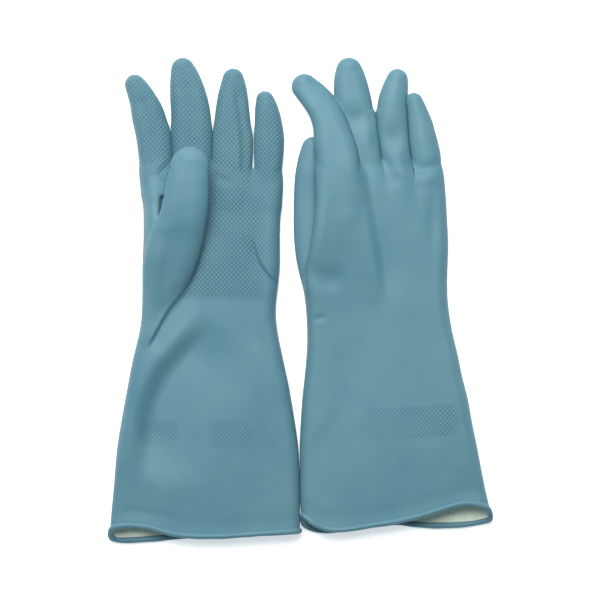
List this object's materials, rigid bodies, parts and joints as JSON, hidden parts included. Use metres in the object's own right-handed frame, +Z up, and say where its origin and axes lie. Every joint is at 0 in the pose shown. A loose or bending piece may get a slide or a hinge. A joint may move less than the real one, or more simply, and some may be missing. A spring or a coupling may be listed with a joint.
{
  "type": "pair of rubber gloves",
  "caption": "Pair of long household rubber gloves lying flat, one palm up and one palm down, with rolled cuffs and pale flock lining.",
  "frame": {"origin": "on the surface the gloves lie on, below the middle of the pair", "axes": "+X from the left glove to the right glove, +Y from the cuffs to the fingertips, +Z up"},
  "size_m": [0.253, 0.3193, 0.0325],
  "materials": {
    "teal_rubber": "satin teal latex, moulded grip pattern on the palm side",
    "cream_lining": "matte pale cotton flock"
  },
  "bodies": {
    "left_gauntlet": {"left_gauntlet": "teal_rubber", "left_gauntlet_lining": "cream_lining", "left_cuff_bead": "teal_rubber"},
    "left_hand": {"left_hand": "teal_rubber", "left_hand_lining": "cream_lining"},
    "left_thumb": {"left_thumb": "teal_rubber", "left_thumb_lining": "cream_lining"},
    "left_index_finger": {"left_index_finger": "teal_rubber", "left_index_finger_lining": "cream_lining"},
    "left_middle_finger": {"left_middle_finger": "teal_rubber", "left_middle_finger_lining": "cream_lining"},
    "left_ring_finger": {"left_ring_finger": "teal_rubber", "left_ring_finger_lining": "cream_lining"},
    "left_little_finger": {"left_little_finger": "teal_rubber", "left_little_finger_lining": "cream_lining"},
    "right_gauntlet": {"right_gauntlet": "teal_rubber", "right_gauntlet_lining": "cream_lining", "right_cuff_bead": "teal_rubber"},
    "right_hand": {"right_hand": "teal_rubber", "right_hand_lining": "cream_lining"},
    "right_thumb": {"right_thumb": "teal_rubber", "right_thumb_lining": "cream_lining"},
    "right_index_finger": {"right_index_finger": "teal_rubber", "right_index_finger_lining": "cream_lining"},
    "right_middle_finger": {"right_middle_finger": "teal_rubber", "right_middle_finger_lining": "cream_lining"},
    "right_ring_finger": {"right_ring_finger": "teal_rubber", "right_ring_finger_lining": "cream_lining"},
    "right_little_finger": {"right_little_finger": "teal_rubber", "right_little_finger_lining": "cream_lining"}
  },
  "joints": [
    {"name": "left_wrist_fold", "type": "hinge", "parent": "left_gauntlet", "child": "left_hand", "pos_m": [-0.0609, -0.032, 0.0169], "axis": [1, 0, 0], "range_deg": [0, 90], "stiffness_Nm_per_rad": 0.02},
    {"name": "left_thumb_fold", "type": "hinge", "parent": "left_hand", "child": "left_thumb", "pos_m": [-0.07588, 0.062, 0.03265], "axis": [0.959, -0.2833, 0], "range_deg": [0, 90], "stiffness_Nm_per_rad": 0.003},
    {"name": "left_index_finger_fold", "type": "hinge", "parent": "left_hand", "child": "left_index_finger", "pos_m": [-0.09686, 0.103, 0.01428], "axis": [0.9935, 0.1137, 0], "range_deg": [0, 90], "stiffness_Nm_per_rad": 0.003},
    {"name": "left_middle_finger_fold", "type": "hinge", "parent": "left_hand", "child": "left_middle_finger", "pos_m": [-0.07133, 0.1045, 0.01466], "axis": [1, 0.005, 0], "range_deg": [0, 90], "stiffness_Nm_per_rad": 0.003},
    {"name": "left_ring_finger_fold", "type": "hinge", "parent": "left_hand", "child": "left_ring_finger", "pos_m": [-0.04484, 0.103, 0.0145], "axis": [0.9999, -0.0151, 0], "range_deg": [0, 90], "stiffness_Nm_per_rad": 0.003},
    {"name": "left_little_finger_fold", "type": "hinge", "parent": "left_hand", "child": "left_little_finger", "pos_m": [-0.02014, 0.0955, 0.01391], "axis": [0.9999, 0.012, 0], "range_deg": [0, 90], "stiffness_Nm_per_rad": 0.003},
    {"name": "pair_slide", "type": "slide", "parent": "left_gauntlet", "child": "right_gauntlet", "axis": [1, 0, 0], "range_m": [0, 0.08]},
    {"name": "right_wrist_fold", "type": "hinge", "parent": "right_gauntlet", "child": "right_hand", "pos_m": [0.0538, -0.032, 0.0171], "axis": [1, 0, 0], "range_deg": [0, 90], "stiffness_Nm_per_rad": 0.02},
    {"name": "right_thumb_swing", "type": "hinge", "parent": "right_hand", "child": "right_thumb", "pos_m": [-0.00414, 0.04388, 0.00656], "axis": [0, 0, 1], "range_deg": [0, 10], "stiffness_Nm_per_rad": 0.003},
    {"name": "right_index_finger_fold", "type": "hinge", "parent": "right_hand", "child": "right_index_finger", "pos_m": [0.02409, 0.097, 0.0239], "axis": [0.9991, 0.0428, 0], "range_deg": [0, 90], "stiffness_Nm_per_rad": 0.003},
    {"name": "right_middle_finger_fold", "type": "hinge", "parent": "right_hand", "child": "right_middle_finger", "pos_m": [0.04607, 0.1, 0.02101], "axis": [0.9739, 0.227, 0], "range_deg": [0, 90], "stiffness_Nm_per_rad": 0.003},
    {"name": "right_ring_finger_fold", "type": "hinge", "parent": "right_hand", "child": "right_ring_finger", "pos_m": [0.06291, 0.1, 0.01832], "axis": [0.996, 0.0899, 0], "range_deg": [0, 90], "stiffness_Nm_per_rad": 0.003},
    {"name": "right_little_finger_fold", "type": "hinge", "parent": "right_hand", "child": "right_little_finger", "pos_m": [0.08321, 0.099, 0.01455], "axis": [0.9889, 0.1487, 0], "range_deg": [0, 90], "stiffness_Nm_per_rad": 0.003}
  ]
}
